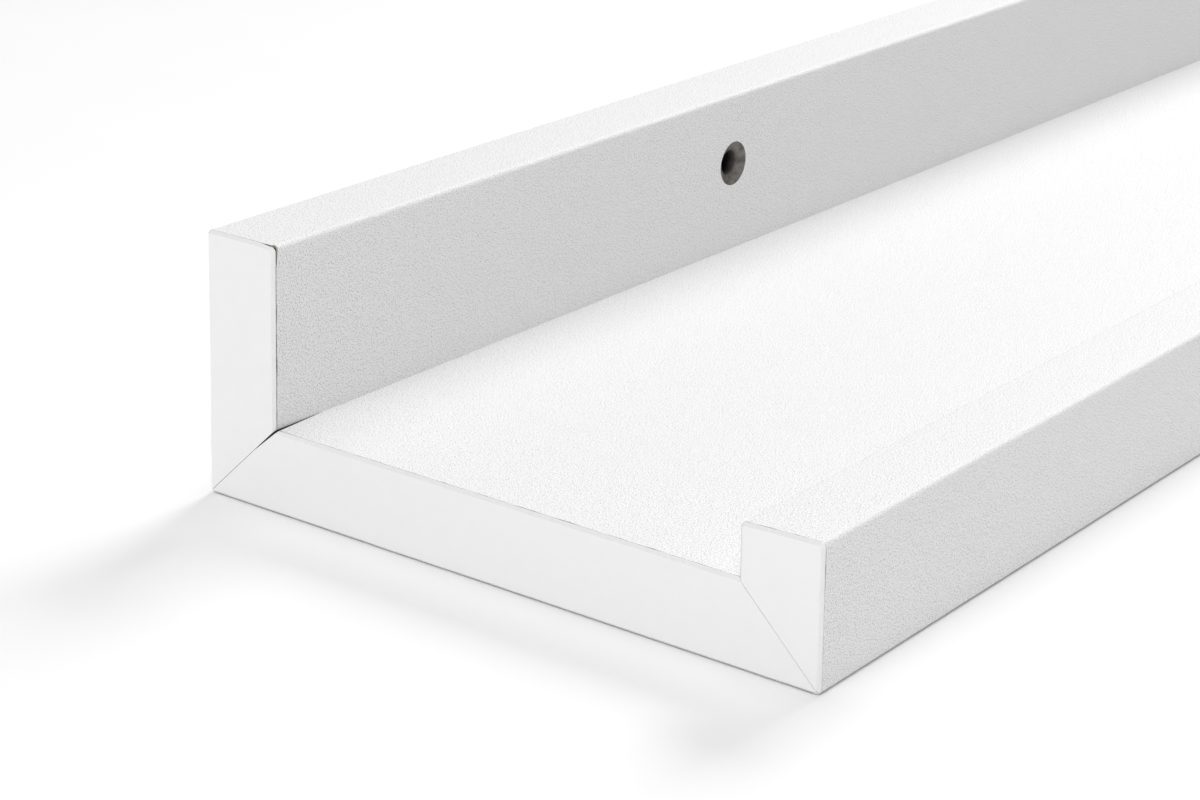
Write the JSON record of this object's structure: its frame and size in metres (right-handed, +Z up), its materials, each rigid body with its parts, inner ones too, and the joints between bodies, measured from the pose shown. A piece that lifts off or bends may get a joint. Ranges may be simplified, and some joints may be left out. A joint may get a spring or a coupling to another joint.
{
  "type": "floating wall shelf",
  "caption": "White picture ledge folded from foil-wrapped fibreboard: a tall screw-on back rail, a flat base and a low front lip with mitred corners.",
  "frame": {"origin": "on the wall plane, midway between the two screw holes and at their height", "axes": "+X along the shelf, to the right seen from the room; +Y into the wall; +Z up"},
  "size_m": [0.6, 0.1, 0.038],
  "materials": {
    "fibreboard": "raw sawn fibreboard",
    "foil": "embossed matt PVC foil",
    "edge_band": "smooth satin edge band"
  },
  "bodies": {
    "root": {"back_rail": "fibreboard", "base_board": "fibreboard", "front_lip": "fibreboard", "outer_foil": "foil", "base_foil": "foil", "rail_end_band_left": "edge_band", "base_end_band_left": "edge_band", "lip_end_band_left": "edge_band", "rail_end_band_right": "edge_band", "base_end_band_right": "edge_band", "lip_end_band_right": "edge_band"}
  },
  "joints": []
}
